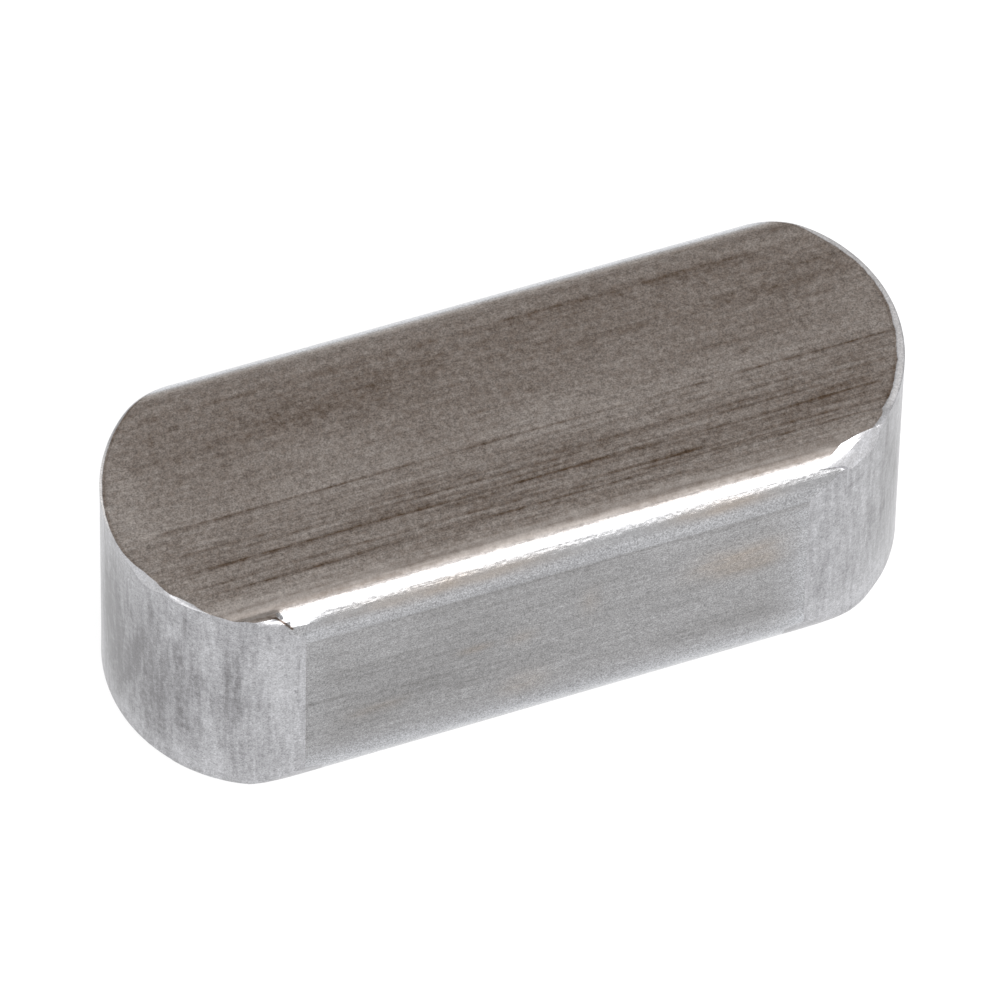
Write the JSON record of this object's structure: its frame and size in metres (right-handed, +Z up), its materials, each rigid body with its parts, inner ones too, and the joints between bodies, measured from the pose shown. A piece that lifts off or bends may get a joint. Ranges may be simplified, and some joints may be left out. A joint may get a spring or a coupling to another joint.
{
  "type": "machine key",
  "caption": "Parallel feather key with both ends round: a short steel bar with rounded long edges that locks a hub to a shaft when seated in their keyways.",
  "frame": {"origin": "middle of the bottom face, which rests on the floor of the shaft's keyway", "axes": "+X along the length of the key, +Y across its width, +Z up from the bottom face through its height"},
  "size_m": [0.02, 0.008, 0.007],
  "materials": {
    "drawn_steel": "dull drawn flats with brown drawing lines along the bar, pale milled round ends"
  },
  "bodies": {
    "root": {"key": "drawn_steel"}
  },
  "joints": []
}
